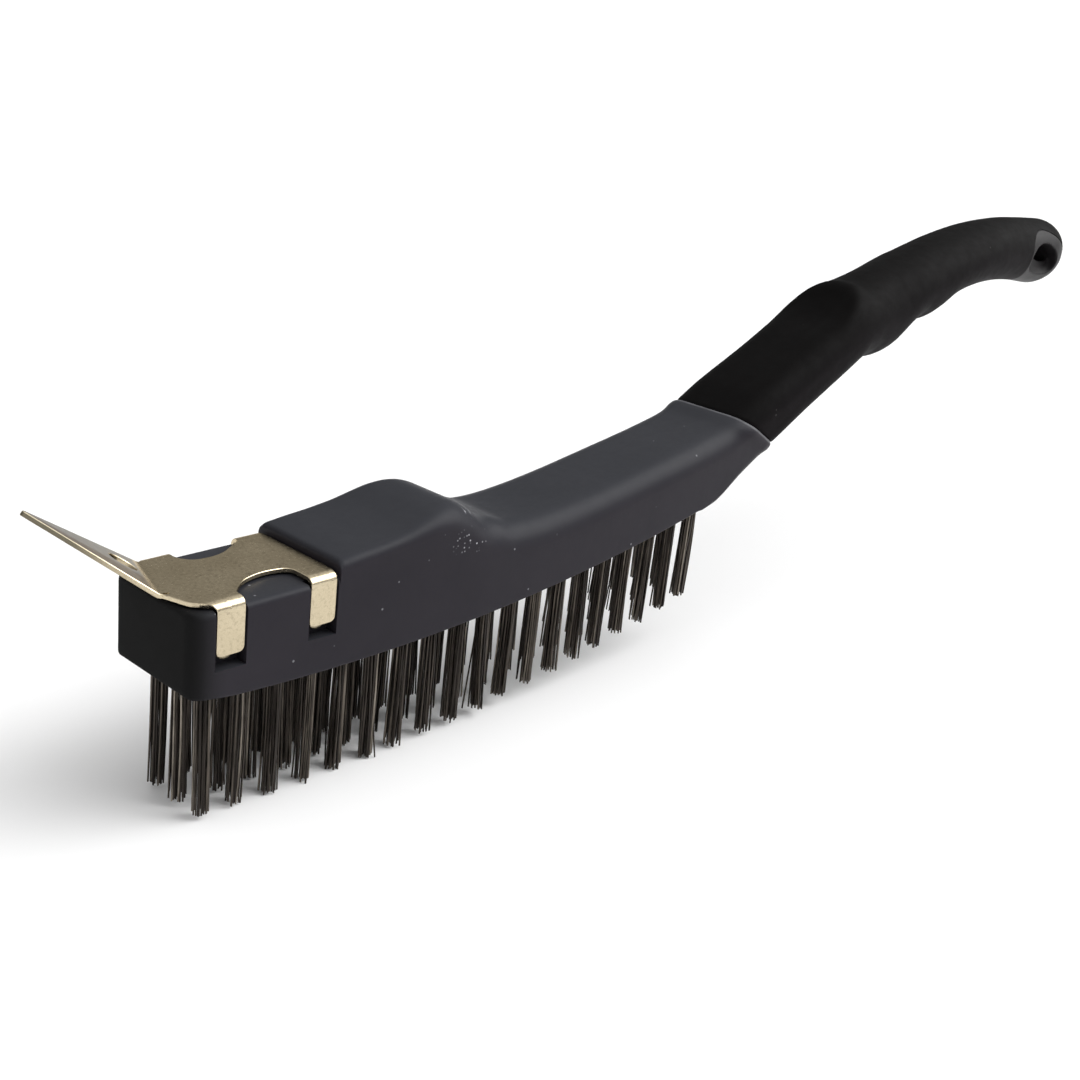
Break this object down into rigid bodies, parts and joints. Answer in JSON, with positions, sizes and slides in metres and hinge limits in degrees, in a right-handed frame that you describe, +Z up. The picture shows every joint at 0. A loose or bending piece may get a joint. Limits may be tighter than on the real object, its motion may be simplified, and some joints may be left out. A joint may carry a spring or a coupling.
{
  "type": "grill cleaning brush",
  "caption": "Long-handled grill brush: arched moulded block with rows of wire tufts, soft grip with hanging hole, folded sheet-metal scraper clipped over the nose.",
  "frame": {"origin": "under the middle of the brush's bounding box, on the level of the lowest wire ends", "axes": "+X from the scraper nose to the hanging hole, +Y across the brush, +Z up away from the wires"},
  "size_m": [0.3668, 0.0264, 0.1054],
  "materials": {
    "body_plastic": "satin moulded plastic, dark slate grey",
    "soft_grip": "matt soft-touch rubber, near black",
    "plated_sheet": "bright plated sheet steel with a warm cast",
    "steel_wire": "dark oxidised steel wire"
  },
  "bodies": {
    "root": {"body_core": "body_plastic", "grip_sleeve": "soft_grip", "scraper_clip": "plated_sheet", "tuft_near_01": "steel_wire", "tuft_middle_01": "steel_wire", "tuft_far_01": "steel_wire", "tuft_near_02": "steel_wire", "tuft_middle_02": "steel_wire", "tuft_far_02": "steel_wire", "tuft_near_03": "steel_wire", "tuft_middle_03": "steel_wire", "tuft_far_03": "steel_wire", "tuft_near_04": "steel_wire", "tuft_middle_04": "steel_wire", "tuft_far_04": "steel_wire", "tuft_near_05": "steel_wire", "tuft_middle_05": "steel_wire", "tuft_far_05": "steel_wire", "tuft_near_06": "steel_wire", "tuft_middle_06": "steel_wire", "tuft_far_06": "steel_wire", "tuft_near_07": "steel_wire", "tuft_middle_07": "steel_wire", "tuft_far_07": "steel_wire", "tuft_near_08": "steel_wire", "tuft_middle_08": "steel_wire", "tuft_far_08": "steel_wire", "tuft_near_09": "steel_wire", "tuft_middle_09": "steel_wire", "tuft_far_09": "steel_wire", "tuft_near_10": "steel_wire", "tuft_middle_10": "steel_wire", "tuft_far_10": "steel_wire", "tuft_near_11": "steel_wire", "tuft_middle_11": "steel_wire", "tuft_far_11": "steel_wire", "tuft_near_12": "steel_wire", "tuft_middle_12": "steel_wire", "tuft_far_12": "steel_wire", "tuft_near_13": "steel_wire", "tuft_middle_13": "steel_wire", "tuft_far_13": "steel_wire", "tuft_near_14": "steel_wire", "tuft_middle_14": "steel_wire", "tuft_far_14": "steel_wire", "tuft_near_15": "steel_wire", "tuft_middle_15": "steel_wire", "tuft_far_15": "steel_wire", "tuft_near_16": "steel_wire", "tuft_middle_16": "steel_wire", "tuft_far_16": "steel_wire", "tuft_near_17": "steel_wire", "tuft_middle_17": "steel_wire", "tuft_far_17": "steel_wire", "tuft_near_18": "steel_wire", "tuft_middle_18": "steel_wire", "tuft_far_18": "steel_wire", "tuft_near_19": "steel_wire", "tuft_middle_19": "steel_wire", "tuft_far_19": "steel_wire"}
  },
  "joints": []
}
